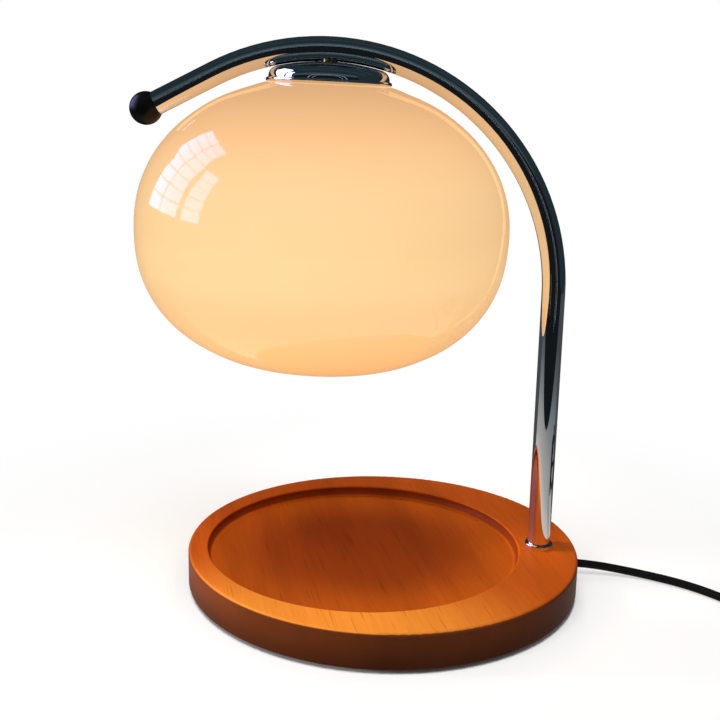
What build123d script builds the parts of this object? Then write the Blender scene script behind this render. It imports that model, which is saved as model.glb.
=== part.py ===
from build123d import *
import math
import os

# Aroma lamp: a round wooden tray base, an arched tube and an opal glass shade that hangs from it.
# Millimetres. Origin on the table under the middle of the base, +Z up, +X towards the pole.

# Fits
ASSEMBLY_GAP = 0.1          # radial gap between pieces that are fixed together
RUNNING_GAP = 0.05          # radial gap of a shaft that turns in its bore
SEAT_GAP = 0.3              # gap between curved faces that lie against each other

# Base board, tray and felt
TRAY_DIAMETER = 160.6
TRAY_DEPTH = 5.0
TRAY_COVE = 3.0
TRAY_EDGE_ROUND = 0.7
OPEN_RIM = 9.7              # rim between the tray and the base's edge, away from the pole
TRAY_TO_COLLAR = 3.5
POLE_TO_EDGE = 19.0         # pole axis to the base's edge
BOARD_THICKNESS = 18.0
BOARD_EDGE_ROUND = 1.6
FELT_THICKNESS = 1.2
FELT_INSET = 4.0

# Tube, collar and ball
TUBE_DIAMETER = 11.5
TUBE_WALL = 1.0
POLE_HEIGHT = 132.3         # straight pole above the base's top face
BEND_RADIUS = 115.0
BEND_ANGLE = 116.5
END_RUN = 31.5              # straight tube after the bend
BALL_DIAMETER = 16.0
BALL_SPIGOT = 12.0
COLLAR_DIAMETER = 14.4
COLLAR_HEIGHT = 2.6
COLLAR_ROUND = 0.9

# Pole fixing under the base
NIPPLE_WALL = 1.5
NIPPLE_IN_TUBE = 16.0
NUT_FLATS = 14.0
NUT_HEIGHT = 4.0
NIPPLE_BELOW_NUT = 0.5
NIPPLE_OVER_LEAD = 0.4      # nipple's end over the lead's axis, as a share of the lead's turn
WASHER_DIAMETER = 18.0
WASHER_THICKNESS = 1.2
NUT_POCKET_GAP = 1.5        # room round the washer

# Wiring pocket, its cover and the cord's groove in the base's underside
POCKET_DEPTH = 8.2
POCKET_INWARD = 20.5        # pocket's edge from the pole axis, towards the base's middle
POCKET_OUTWARD = 11.0
POCKET_FRONT = 10.0
POCKET_BEHIND_GROOVE = 1.4
POCKET_CORNER = 4.0
COVER_LAP = 7.0
COVER_MARGIN = 6.0          # cover's edge from the base's edge
COVER_THICKNESS = 1.0
COVER_SCREW_LENGTH = 7.0
SCREW_HEAD_RADIUS = 2.4
SCREW_SHANK_RADIUS = 1.2

# Cord and strain reliefs
CORD_DIAMETER = 4.2
CORD_LIFT = 0.05
RELIEF_NOSE_WALL = 0.5
RELIEF_ROOT_WALL = 1.4
RELIEF_BORE_GAP = 0.1
BASE_RELIEF_LENGTH = 22.0
BASE_RELIEF_PROUD = 1.6
CORD_FREE = 8.0             # straight cord past a strain relief's nose, before its first turn
LEAD_DIAMETER = 3.0
LEAD_TURN = 4.0

# Hollow stud, cap and clamp that hold the shade
HANG_ANGLE = 88.0           # place on the bend, measured from the pole
STUD_DIAMETER = 8.0
STUD_WALL = 1.4
STUD_IN_TUBE = 0.6          # stud's reach past the tube's wall
CAP_DIAMETER = 60.0
CAP_RISE = 10.1
CAP_SHEET = 0.8
CAP_BOSS_DIAMETER = 14.0
CAP_SHOULDER_WIDTH = 3.8    # round between the crown, which follows the tube, and the side
CAP_SIDE_HEIGHT = 2.4
CAP_LIP_WIDTH = 1.2
CAP_LIP_HEIGHT = 2.0
GASKET_THICKNESS = 1.0
GASKET_WIDTH = 4.0
GASKET_FROM_NECK = 0.8
CLAMP_LAP = 6.5             # clamp plate's reach past the neck hole
CLAMP_THICKNESS = 1.5
STUD_NUT_FLATS = 12.0
STUD_NUT_HEIGHT = 4.0
STUD_BELOW_NUT = 1.5

# Glass shade
SHADE_TO_TUBE = 18.65       # from the widest level to the bend's inner side, were they concentric
GLOBE_UPPER = 71.4          # height above the widest level, were it closed
GLOBE_LOWER = 69.4          # depth below the widest level, were it closed
GLOBE_UPPER_POWER = 2.1
GLOBE_LOWER_POWER = 2.34
GLASS_WALL = 2.8
NECK_DIAMETER = 40.0
MOUTH_DIAMETER = 88.0
GLOBE_STEPS = 8

# Lamp holder and its bridge
BRIDGE_WIDTH = 14.0
BRIDGE_THICKNESS = 1.2
BRIDGE_LEG_BELOW_SCREW = 6.0
HOLDER_DIAMETER = 28.0
HOLDER_HEIGHT = 24.0
HOLDER_FLATS = 26.0
HOLDER_DROP = 6.3           # below the stud's end
HOLDER_SCREW_DEPTH = 9.0    # screws below the holder's top
HOLDER_SCREW_LENGTH = 6.0
HOLDER_SCREW_RADIUS = 1.4
HOLDER_SCREW_HEAD = 2.6
HOLDER_SCREW_HEAD_HEIGHT = 1.6
WIRE_DIAMETER = 1.8
WIRE_SPREAD = 5.0
WIRE_BEND = 2.6
WIRE_IN_HOLDER = 6.0
WIRE_IN_STUD = 4.0

# Twist-lock bulb
PIN_SPACING = 10.0
PIN_NECK_RADIUS = 1.5
PIN_HEAD_RADIUS = 2.5
PIN_NECK_LENGTH = 4.0
PIN_HEAD_LENGTH = 3.0
PIN_ROOM = 0.4
BULB_TWIST = 25.0
BULB_GAP = 0.3
BULB_BASE_DIAMETER = 20.0
BULB_BASE_LENGTH = 15.0
BULB_BASE_ROUND = 1.5
REFLECTOR_DIAMETER = 50.0
REFLECTOR_LENGTH = 33.0
REFLECTOR_WALL = 1.5
REFLECTOR_RIM = 3.0
LENS_THICKNESS = 2.0

# Dimmer on the cord
DIMMER_LENGTH = 56.0
DIMMER_WIDTH = 27.0
DIMMER_HEIGHT = 15.0
DIMMER_SPLIT = 6.5          # height of the seam, which is the cord's height too
DIMMER_CORNER = 9.0
DIMMER_WALL = 1.6
DIMMER_EDGE_ROUND = 2.5
WHEEL_DIAMETER = 17.0
WHEEL_THICKNESS = 5.5
WHEEL_OFFSET = 8.0          # wheel's axle from the dimmer's middle
WHEEL_PROUD = 2.6
WHEEL_NOTCHES = 24
WHEEL_NOTCH_RADIUS = 0.5
WHEEL_ROOM = 0.6
SHAFT_DIAMETER = 2.4
SHAFT_POST = 3.0            # thickness of the posts that carry the shaft
BOARD_WIDTH = 18.0
BOARD_SHEET = 1.6
BOARD_PEG_HEIGHT = 1.5
BOARD_PEG_RADIUS = 1.5
DIMMER_BOSS_RADIUS = 2.8
DIMMER_BOSS_INSET = 11.0    # bosses from the dimmer's ends
DIMMER_BOSS_ASIDE = 7.0
DIMMER_SCREW_LENGTH = 9.0
DIMMER_SCREW_RADIUS = 1.1
DIMMER_SCREW_HEAD = 2.0
DIMMER_RELIEF_LENGTH = 20.0
DIMMER_RELIEF_FLANGE = 1.4
DIMMER_RELIEF_FLANGE_WALL = 2.6
CORD_IN_DIMMER = 4.0        # cord's reach inside the dimmer's end

# Plug
PLUG_LENGTH = 36.0
PLUG_WIDTH = 26.0
PLUG_TAIL_WIDTH = 14.0
PLUG_TAPER = 15.0
PLUG_HEIGHT = 13.7
PLUG_ROUND = 2.4
PLUG_PIN_DIAMETER = 4.0
PLUG_PIN_LENGTH = 19.0
PLUG_PIN_SPACING = 18.6
PLUG_PIN_TIP = 0.8
PLUG_RELIEF_LENGTH = 22.0
PLUG_HEADING = 80.0

# Places on the table and the cord's route to the dimmer, from the cord's exit
DIMMER_PLACE = (212.6, -10.9)
COIL_PLACE = (138.6, -30.9)
PLUG_PLACE = (110.4, 12.5)    # nose of the plug's strain relief
LAMP_CORD_START = (7.0, 0.0)
LAMP_CORD_ROUTE = [
    (35.0, -1.6),
    (60.0, -15.5),
    (80.0, -37.5),
    (96.0, -65.0),
    (120.0, -90.0),
    (158.0, -101.5),
    (195.0, -94.0),
]
PLUG_CORD_REACH = 48.0        # from the dimmer's end to the middle of the cord's turn back
TAIL_RUN = 14.0               # level cord after the coil, before it drops to the plug

# Coil of the put-away length and its tie
COIL_MIDDLE_RADIUS = 24.0
COIL_PITCH = 4.8
COIL_LAYERS = 4
COIL_TURN_COUNT = 2         # whole turns in a layer
COIL_START_ANGLE = 0.0
COIL_PART_TURN = 180.0      # past the whole turns, so that the tail leaves on the other side
COIL_ARC_COUNT = 8          # arcs in a turn
TIE_WIDTH = 10.0
TIE_THICKNESS = 0.8
TIE_ANGLE = -40.0

# Levels and places that follow from the sizes above
base_diameter = OPEN_RIM + TRAY_DIAMETER + TRAY_TO_COLLAR + COLLAR_DIAMETER / 2 + POLE_TO_EDGE
base_radius = base_diameter / 2
board_bottom = FELT_THICKNESS
base_top = board_bottom + BOARD_THICKNESS
tray_middle = OPEN_RIM + TRAY_DIAMETER / 2 - base_radius
pole_x = base_radius - POLE_TO_EDGE
tube_radius = TUBE_DIAMETER / 2
tube_inside = tube_radius - TUBE_WALL
nipple_radius = tube_inside - ASSEMBLY_GAP
bend_level = base_top + POLE_HEIGHT
bend_middle = (pole_x - BEND_RADIUS, bend_level)
cord_radius = CORD_DIAMETER / 2
table_cord = cord_radius + CORD_LIFT
relief_bore = cord_radius + RELIEF_BORE_GAP
relief_neck = relief_bore + RELIEF_ROOT_WALL
relief_nose = relief_bore + RELIEF_NOSE_WALL
groove_radius = relief_neck + ASSEMBLY_GAP
groove_offset = NUT_FLATS / 2 + relief_neck + SEAT_GAP
exit_height = board_bottom + COVER_THICKNESS + relief_neck + SEAT_GAP
exit_x = math.sqrt(base_radius**2 - groove_offset**2)
stud_radius = STUD_DIAMETER / 2
stud_bore = stud_radius - STUD_WALL


def on_bend(angle, radius=BEND_RADIUS):
    """Point at an angle round the bend's centre, measured from the pole's side."""
    turn = math.radians(angle)
    return (bend_middle[0] + radius * math.cos(turn), 0, bend_middle[1] + radius * math.sin(turn))


def turned(*edges):
    """Body of revolution about Z from a closed outline in the XZ plane."""
    return revolve(make_face(edges), Axis.Z)


def outline(*points):
    """Closed outline of straight lines through (radius, height) points."""
    corners = [(r, 0, z) for r, z in points]
    return Polyline(*corners, close=True)


def ring(inner, outer, bottom, top):
    return Pos(0, 0, bottom) * extrude(Circle(outer) - Circle(inner), amount=top - bottom)


def rod(radius, bottom, top):
    return Pos(0, 0, bottom) * extrude(Circle(radius), amount=top - bottom)


def hexagon_nut(flats, hole, bottom, top):
    face = RegularPolygon(flats / 2, 6, major_radius=False, rotation=30) - Circle(hole)
    return Pos(0, 0, bottom) * extrude(face, amount=top - bottom)


def countersunk_screw(head, shank, length):
    """Screw with its flat head at Z 0 and its point up."""
    slope = head - shank
    return turned(outline((0, 0), (head, 0), (shank, slope), (shank, length), (0, length)))


def relief_sleeve(length):
    """Tapered sleeve along +X from its root at X 0 to its nose."""
    profile = outline((relief_bore, 0), (relief_neck, 0), (relief_nose, length), (relief_bore, length))
    return Rot(0, 90, 0) * turned(profile)


# The shade and all that hangs with it is drawn about Z from the tube's axis, then hung square to the tube.
hang = Location(on_bend(HANG_ANGLE), (0, 90 - HANG_ANGLE, 0))
bend_inside = BEND_RADIUS - tube_radius


def under_tube(radius):
    """Level of the tube's underside at a distance from the stud's axis, along the bend."""
    return math.sqrt(bend_inside**2 - radius**2) - BEND_RADIUS


cap_top = under_tube(CAP_BOSS_DIAMETER / 2) - ASSEMBLY_GAP
cap_rim = cap_top - CAP_RISE
globe_radius = bend_inside - SHADE_TO_TUBE
neck_radius = NECK_DIAMETER / 2
mouth_radius = MOUTH_DIAMETER / 2
cap_radius = CAP_DIAMETER / 2


def dome(radius, half_width, height, power):
    """Height of a dome over its widest level at a radius from its axis."""
    return height * (1 - (radius / half_width) ** power) ** (1 / power)


rim_contact = cap_radius - CAP_SHEET
globe_level = cap_rim - SEAT_GAP - dome(rim_contact, globe_radius, GLOBE_UPPER, GLOBE_UPPER_POWER)


def glass_outside(radius):
    return globe_level + dome(radius, globe_radius, GLOBE_UPPER, GLOBE_UPPER_POWER)


def glass_inside(radius):
    return globe_level + dome(
        radius, globe_radius - GLASS_WALL, GLOBE_UPPER - GLASS_WALL, GLOBE_UPPER_POWER
    )


gasket_inner = neck_radius + GASKET_FROM_NECK
gasket_outer = gasket_inner + GASKET_WIDTH
clamp_top = glass_inside(gasket_outer) - SEAT_GAP - GASKET_THICKNESS - ASSEMBLY_GAP
clamp_bottom = clamp_top - CLAMP_THICKNESS
bridge_top = clamp_bottom - STUD_NUT_HEIGHT
bridge_bottom = bridge_top - BRIDGE_THICKNESS
stud_end = bridge_bottom - STUD_NUT_HEIGHT - STUD_BELOW_NUT
stud_top = -tube_inside + STUD_IN_TUBE
holder_top = stud_end - HOLDER_DROP
holder_bottom = holder_top - HOLDER_HEIGHT
holder_screw_level = holder_top - HOLDER_SCREW_DEPTH
bulb_top = holder_bottom - BULB_GAP
reflector_top = bulb_top - BULB_BASE_LENGTH
reflector_bottom = reflector_top - REFLECTOR_LENGTH
wire_top = stud_end + WIRE_IN_STUD
pin_reach = PIN_NECK_LENGTH + PIN_HEAD_LENGTH

# Wiring pocket under the base
pocket_left = pole_x - POCKET_INWARD
pocket_right = pole_x + POCKET_OUTWARD
pocket_ceiling = board_bottom + POCKET_DEPTH
nipple_bottom = exit_height + NIPPLE_OVER_LEAD * LEAD_TURN
nut_bottom = nipple_bottom + NIPPLE_BELOW_NUT
washer_bottom = nut_bottom + NUT_HEIGHT
nut_ceiling = washer_bottom + WASHER_THICKNESS
pocket_back = groove_offset + groove_radius + POCKET_BEHIND_GROOVE
relief_root = exit_x + BASE_RELIEF_PROUD - BASE_RELIEF_LENGTH
cover_screw_places = [
    (x, y)
    for x in (pocket_left + POCKET_CORNER, pole_x)
    for y in (-POCKET_FRONT - COVER_LAP / 2, pocket_back + COVER_LAP / 2)
]


def cover_sheet(shrink):
    """Outline of the wiring cover, cut back where it nears the base's edge."""
    width = POCKET_INWARD + POCKET_OUTWARD + 2 * COVER_LAP - 2 * shrink
    depth = POCKET_FRONT + pocket_back + 2 * COVER_LAP - 2 * shrink
    middle_x = (pocket_left + pocket_right) / 2
    middle_y = (pocket_back - POCKET_FRONT) / 2
    sheet = Pos(middle_x, middle_y) * RectangleRounded(width, depth, POCKET_CORNER)
    return sheet & Circle(base_radius - COVER_MARGIN - shrink)


def cover_screw_hole():
    return countersunk_screw(
        SCREW_HEAD_RADIUS + ASSEMBLY_GAP,
        SCREW_SHANK_RADIUS + ASSEMBLY_GAP,
        COVER_SCREW_LENGTH + ASSEMBLY_GAP,
    )


def wood_base():
    board = rod(base_radius, board_bottom, base_top)
    board = fillet(board.edges(), BOARD_EDGE_ROUND)
    tray = rod(TRAY_DIAMETER / 2, base_top - TRAY_DEPTH, base_top + TRAY_DEPTH)
    tray = fillet(tray.edges().sort_by(Axis.Z)[0], TRAY_COVE)
    board -= Pos(tray_middle, 0, 0) * tray
    rim = board.edges().filter_by(GeomType.CIRCLE).filter_by(
        lambda e: abs(e.center().Z - base_top) < 0.01 and abs(e.radius - TRAY_DIAMETER / 2) < 0.01
    )
    board = fillet(rim, TRAY_EDGE_ROUND)
    board -= Pos(pole_x, 0, 0) * rod(nipple_radius + ASSEMBLY_GAP, 0, base_top + 1)
    board -= Pos(pole_x, 0, 0) * rod(WASHER_DIAMETER / 2 + NUT_POCKET_GAP, 0, nut_ceiling)
    pocket = Pos((pocket_left + pocket_right) / 2, (pocket_back - POCKET_FRONT) / 2) * RectangleRounded(
        pocket_right - pocket_left, POCKET_FRONT + pocket_back, POCKET_CORNER
    )
    board -= extrude(pocket, amount=pocket_ceiling)
    board -= extrude(cover_sheet(0), amount=board_bottom + COVER_THICKNESS)
    groove_start = relief_root - groove_radius
    groove = Rectangle(2 * groove_radius, exit_height, align=(Align.CENTER, Align.MIN))
    groove += Pos(0, exit_height) * Circle(groove_radius)
    groove_plane = Plane((groove_start, groove_offset, 0), x_dir=(0, 1, 0), z_dir=(1, 0, 0))
    board -= extrude(groove_plane * groove, amount=base_radius - groove_start)
    for x, y in cover_screw_places:
        board -= Pos(x, y, board_bottom) * cover_screw_hole()
    return board


def felt_pad():
    return rod(base_radius - FELT_INSET, 0, board_bottom)


def bottom_cover():
    cover = Pos(0, 0, board_bottom) * extrude(cover_sheet(ASSEMBLY_GAP), amount=COVER_THICKNESS)
    for x, y in cover_screw_places:
        cover -= Pos(x, y, board_bottom) * cover_screw_hole()
    return cover


def bottom_cover_screws():
    screw = countersunk_screw(SCREW_HEAD_RADIUS, SCREW_SHANK_RADIUS, COVER_SCREW_LENGTH)
    return Compound([Pos(x, y, board_bottom) * screw for x, y in cover_screw_places])


def pole_nipple():
    return Pos(pole_x, 0, 0) * ring(
        nipple_radius - NIPPLE_WALL, nipple_radius, nipple_bottom, base_top + NIPPLE_IN_TUBE
    )


def pole_washer():
    return Pos(pole_x, 0, 0) * ring(
        nipple_radius + ASSEMBLY_GAP, WASHER_DIAMETER / 2, washer_bottom, nut_ceiling
    )


def pole_nut():
    return Pos(pole_x, 0, 0) * hexagon_nut(
        NUT_FLATS, nipple_radius + ASSEMBLY_GAP, nut_bottom, washer_bottom
    )


def foot_collar():
    collar = ring(tube_radius + ASSEMBLY_GAP, COLLAR_DIAMETER / 2, base_top, base_top + COLLAR_HEIGHT)
    outer = collar.edges().filter_by(GeomType.CIRCLE).sort_by(SortBy.RADIUS)[-2:]
    return Pos(pole_x, 0, 0) * fillet(outer.sort_by(Axis.Z)[-1], COLLAR_ROUND)


def tube_path():
    start = (pole_x, 0, base_top)
    bend_start = on_bend(0)
    bend_end = on_bend(BEND_ANGLE)
    slope = math.radians(BEND_ANGLE + 90)
    end = (bend_end[0] + END_RUN * math.cos(slope), 0, bend_end[2] + END_RUN * math.sin(slope))
    bend = ThreePointArc(bend_start, on_bend(BEND_ANGLE / 2), bend_end)
    return Wire([Line(start, bend_start), bend, Line(bend_end, end)])


def arm_tube():
    path = tube_path()
    wall = Plane(path @ 0, z_dir=path % 0) * (Circle(tube_radius) - Circle(tube_inside))
    tube = sweep(wall, path=path)
    hole = rod(stud_radius + ASSEMBLY_GAP, -TUBE_DIAMETER, 0)
    return tube - hang * hole


def end_ball():
    path = tube_path()
    end = Plane(path @ 1, z_dir=path % 1)
    middle = math.sqrt((BALL_DIAMETER / 2) ** 2 - tube_radius**2)
    ball = Pos(0, 0, middle) * Sphere(BALL_DIAMETER / 2)
    ball = ball & rod(BALL_DIAMETER, 0, 2 * BALL_DIAMETER)
    spigot = rod(tube_inside - ASSEMBLY_GAP, -BALL_SPIGOT, 0)
    return end.location * (ball + spigot)


def shade_stud():
    return hang * ring(stud_bore, stud_radius, stud_end, stud_top)


def shade_cap():
    hole = stud_radius + ASSEMBLY_GAP
    boss = CAP_BOSS_DIAMETER / 2
    side = cap_radius - CAP_LIP_WIDTH
    inner_side = side - CAP_SHEET
    side_level = cap_rim + CAP_SIDE_HEIGHT
    lip_top = cap_rim + CAP_LIP_HEIGHT
    lip_edge = cap_radius - CAP_SHEET
    crown_edge = side - CAP_SHOULDER_WIDTH
    between = (boss + crown_edge) / 2
    bulge = under_tube(between) - (ASSEMBLY_GAP + SEAT_GAP) / 2
    crown_level = under_tube(crown_edge) - SEAT_GAP

    def crown(depth):
        middle = (between, 0, bulge - depth)
        return ThreePointArc((boss, 0, cap_top - depth), middle, (crown_edge, 0, crown_level - depth))

    outer = crown(0)
    inner = crown(CAP_SHEET)
    return hang * turned(
        Line((hole, 0, cap_top), outer @ 0),
        outer,
        TangentArc(outer @ 1, (side, 0, side_level), tangent=outer % 1),
        Line((side, 0, side_level), (side, 0, lip_top)),
        Line((side, 0, lip_top), (lip_edge, 0, lip_top)),
        ThreePointArc(
            (lip_edge, 0, lip_top), (cap_radius, 0, (lip_top + cap_rim) / 2), (lip_edge, 0, cap_rim)
        ),
        Line((lip_edge, 0, cap_rim), (inner_side, 0, lip_top - CAP_SHEET)),
        Line((inner_side, 0, lip_top - CAP_SHEET), (inner_side, 0, side_level)),
        TangentArc(inner @ 1, (inner_side, 0, side_level), tangent=inner % 1),
        inner,
        Line(inner @ 0, (hole, 0, cap_top - CAP_SHEET)),
        Line((hole, 0, cap_top - CAP_SHEET), (hole, 0, cap_top)),
    )


def gasket_on(surface, clear):
    """Flat rubber ring that follows the glass, above it or below it."""
    away = math.copysign(GASKET_THICKNESS, clear)
    corners = [(r, surface(r) + clear) for r in (gasket_inner, gasket_outer)]
    back = [(r, z + away) for r, z in reversed(corners)]
    return hang * turned(outline(*corners, *back))


def upper_gasket():
    return gasket_on(glass_outside, ASSEMBLY_GAP)


def lower_gasket():
    return gasket_on(glass_inside, -SEAT_GAP)


def globe_curve(half_width, height, power, level, end_radius, way):
    """Wall curve from the widest level to a smaller radius, upwards or downwards."""
    end_turn = math.acos((end_radius / half_width) ** (power / 2))
    turns = [end_turn * step / GLOBE_STEPS for step in range(GLOBE_STEPS + 1)]
    points = [
        (
            half_width * math.cos(turn) ** (2 / power),
            0,
            level + way * height * math.sin(turn) ** (2 / power),
        )
        for turn in turns
    ]
    share = (end_radius / half_width) ** (power - 1) * (1 - (end_radius / half_width) ** power) ** (
        1 / power - 1
    )
    return Spline(*points, tangents=[(0, 0, way), (-1, 0, way * share * height / half_width)])


def glass_shade():
    inner_radius = globe_radius - GLASS_WALL
    upper = globe_curve(globe_radius, GLOBE_UPPER, GLOBE_UPPER_POWER, globe_level, neck_radius, 1)
    lower = globe_curve(globe_radius, GLOBE_LOWER, GLOBE_LOWER_POWER, globe_level, mouth_radius, -1)
    upper_inside = globe_curve(
        inner_radius, GLOBE_UPPER - GLASS_WALL, GLOBE_UPPER_POWER, globe_level, neck_radius, 1
    )
    lower_inside = globe_curve(
        inner_radius, GLOBE_LOWER - GLASS_WALL, GLOBE_LOWER_POWER, globe_level, mouth_radius, -1
    )
    lip_middle = (lower @ 1 + lower_inside @ 1) / 2 - Vector(GLASS_WALL / 2, 0, 0)
    lip = ThreePointArc(lower @ 1, lip_middle, lower_inside @ 1)
    return hang * turned(upper, Line(upper @ 1, upper_inside @ 1), upper_inside, lower_inside, lip, lower)


def clamp_plate():
    return hang * ring(stud_radius + ASSEMBLY_GAP, neck_radius + CLAMP_LAP, clamp_bottom, clamp_top)


def clamp_nut():
    return hang * hexagon_nut(STUD_NUT_FLATS, stud_radius + ASSEMBLY_GAP, bridge_top, clamp_bottom)


def bridge_nut():
    bottom = bridge_bottom - STUD_NUT_HEIGHT
    return hang * hexagon_nut(STUD_NUT_FLATS, stud_radius + ASSEMBLY_GAP, bottom, bridge_bottom)


leg_inside = HOLDER_FLATS / 2 + ASSEMBLY_GAP
leg_outside = leg_inside + BRIDGE_THICKNESS


def holder_bridge():
    leg_end = holder_screw_level - BRIDGE_LEG_BELOW_SCREW
    profile = Polyline(
        (-leg_outside, 0, leg_end),
        (-leg_outside, 0, bridge_top),
        (leg_outside, 0, bridge_top),
        (leg_outside, 0, leg_end),
        (leg_inside, 0, leg_end),
        (leg_inside, 0, bridge_bottom),
        (-leg_inside, 0, bridge_bottom),
        (-leg_inside, 0, leg_end),
        close=True,
    )
    strap = extrude(make_face(profile), amount=BRIDGE_WIDTH / 2, both=True)
    corners = strap.edges().filter_by(Axis.Y).filter_by(lambda e: abs(e.center().Z - bridge_top) < 0.01)
    strap = fillet(corners, BRIDGE_THICKNESS)
    strap -= rod(stud_radius + ASSEMBLY_GAP, bridge_bottom - 1, bridge_top + 1)
    screw_hole = Rot(0, 90, 0) * rod(HOLDER_SCREW_RADIUS + ASSEMBLY_GAP, -HOLDER_DIAMETER, HOLDER_DIAMETER)
    return hang * (strap - Pos(0, 0, holder_screw_level) * screw_hole)


def lamp_holder():
    body = rod(HOLDER_DIAMETER / 2, holder_bottom, holder_top)
    body &= Pos(0, 0, holder_bottom) * extrude(
        Rectangle(HOLDER_FLATS, HOLDER_DIAMETER), amount=HOLDER_HEIGHT
    )
    pin_circle = PIN_SPACING / 2
    for side in (0, 180):
        path = CenterArc((0, 0), pin_circle, side, -BULB_TWIST)
        neck_slot = SlotArc(path, 2 * (PIN_NECK_RADIUS + PIN_ROOM))
        entry = Rot(0, 0, side - BULB_TWIST) * Pos(pin_circle, 0) * Circle(PIN_HEAD_RADIUS + PIN_ROOM)
        head_slot = SlotArc(path, 2 * (PIN_HEAD_RADIUS + PIN_ROOM))
        behind = holder_bottom + PIN_NECK_LENGTH - BULB_GAP - PIN_ROOM
        body -= Pos(0, 0, holder_bottom) * extrude(neck_slot + entry, amount=behind - holder_bottom)
        body -= Pos(0, 0, behind) * extrude(head_slot, amount=PIN_HEAD_LENGTH + 2 * PIN_ROOM)
        wire_hole = rod(WIRE_DIAMETER / 2 + ASSEMBLY_GAP, holder_top - WIRE_IN_HOLDER - ASSEMBLY_GAP, holder_top)
        body -= Rot(0, 0, side) * Pos(0, WIRE_SPREAD, 0) * wire_hole
        reach = HOLDER_SCREW_LENGTH - BRIDGE_THICKNESS
        screw_hole = rod(HOLDER_SCREW_RADIUS + ASSEMBLY_GAP, HOLDER_FLATS / 2 - reach, HOLDER_FLATS)
        body -= Rot(0, 0, side) * Pos(0, 0, holder_screw_level) * Rot(0, 90, 0) * screw_hole
    return hang * body


def holder_screws():
    start = leg_outside + ASSEMBLY_GAP
    screw = turned(
        outline(
            (0, start - HOLDER_SCREW_LENGTH),
            (HOLDER_SCREW_RADIUS, start - HOLDER_SCREW_LENGTH),
            (HOLDER_SCREW_RADIUS, start),
            (HOLDER_SCREW_HEAD, start),
            (HOLDER_SCREW_HEAD, start + HOLDER_SCREW_HEAD_HEIGHT),
            (0, start + HOLDER_SCREW_HEAD_HEIGHT),
        )
    )
    level = Pos(0, 0, holder_screw_level)
    return Compound([hang * Rot(0, 0, side) * level * Rot(0, 90, 0) * screw for side in (0, 180)])


def holder_leads():
    inside = WIRE_DIAMETER / 2 + RUNNING_GAP
    crossing = (stud_end + holder_top) / 2
    wires = []
    for side in (-1, 1):
        path = FilletPolyline(
            (0, side * inside, wire_top),
            (0, side * inside, crossing + WIRE_BEND / 2),
            (0, side * WIRE_SPREAD, crossing - WIRE_BEND / 2),
            (0, side * WIRE_SPREAD, holder_top - WIRE_IN_HOLDER),
            radius=WIRE_BEND,
        )
        section = Plane(path @ 0, z_dir=path % 0) * Circle(WIRE_DIAMETER / 2)
        wires.append(hang * sweep(section, path=path))
    return Compound(wires)


def bulb_base():
    base = rod(BULB_BASE_DIAMETER / 2, reflector_top, bulb_top)
    return hang * fillet(base.edges().sort_by(Axis.Z)[-1], BULB_BASE_ROUND)


def bulb_pins():
    pin = turned(
        outline(
            (0, bulb_top),
            (PIN_NECK_RADIUS, bulb_top),
            (PIN_NECK_RADIUS, bulb_top + PIN_NECK_LENGTH),
            (PIN_HEAD_RADIUS, bulb_top + PIN_NECK_LENGTH),
            (PIN_HEAD_RADIUS, bulb_top + pin_reach),
            (0, bulb_top + pin_reach),
        )
    )
    return Compound([hang * Pos(side * PIN_SPACING / 2, 0, 0) * pin for side in (-1, 1)])


def bulb_reflector():
    neck = BULB_BASE_DIAMETER / 2
    rim = REFLECTOR_DIAMETER / 2
    rim_top = reflector_bottom + REFLECTOR_RIM
    middle = ((neck + 2 * rim) / 3, 0, (reflector_top + rim_top) / 2)
    wall = Vector(REFLECTOR_WALL, 0, REFLECTOR_WALL)
    inner_neck = neck - REFLECTOR_WALL
    inner_rim = rim - REFLECTOR_WALL
    inner_top = reflector_top - REFLECTOR_WALL
    return hang * turned(
        Line((0, 0, reflector_top), (neck, 0, reflector_top)),
        ThreePointArc((neck, 0, reflector_top), middle, (rim, 0, rim_top)),
        Line((rim, 0, rim_top), (rim, 0, reflector_bottom)),
        Line((rim, 0, reflector_bottom), (inner_rim, 0, reflector_bottom)),
        Line((inner_rim, 0, reflector_bottom), (inner_rim, 0, rim_top)),
        ThreePointArc((inner_rim, 0, rim_top), Vector(*middle) - wall, (inner_neck, 0, inner_top)),
        Line((inner_neck, 0, inner_top), (0, 0, inner_top)),
        Line((0, 0, inner_top), (0, 0, reflector_top)),
    )


def bulb_lens():
    radius = REFLECTOR_DIAMETER / 2 - REFLECTOR_WALL - ASSEMBLY_GAP
    return hang * rod(radius, reflector_bottom, reflector_bottom + LENS_THICKNESS)


def cord_relief():
    return Pos(relief_root, groove_offset, exit_height) * relief_sleeve(BASE_RELIEF_LENGTH)


def round_sweep(path, diameter):
    section = Plane(path @ 0, z_dir=path % 0) * Circle(diameter / 2)
    return sweep(section, path=path)


def riser_lead():
    """Lead from the cord's end through the nipple, pole and bend, and down into the stud."""
    level = exit_height
    turn_x = pocket_left + LEAD_DIAMETER + POCKET_CORNER
    lower = FilletPolyline(
        (relief_root - ASSEMBLY_GAP, groove_offset, level),
        (turn_x, groove_offset, level),
        (turn_x, 0, level),
        (pole_x, 0, level),
        on_bend(0),
        radius=LEAD_TURN,
    )
    early = math.degrees(math.asin(LEAD_TURN / (BEND_RADIUS - LEAD_TURN)))
    leave = HANG_ANGLE - early
    bend = ThreePointArc(on_bend(0), on_bend(leave / 2), on_bend(leave))
    drop = (BEND_RADIUS - LEAD_TURN) * math.cos(math.radians(early))
    turn_end = on_bend(HANG_ANGLE, drop)
    turn = TangentArc(on_bend(leave), turn_end, tangent=bend % 1)
    down = Line(turn_end, on_bend(HANG_ANGLE, BEND_RADIUS + wire_top + ASSEMBLY_GAP))
    return round_sweep(Wire([*lower.edges(), bend, turn, down]), LEAD_DIAMETER)


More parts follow.
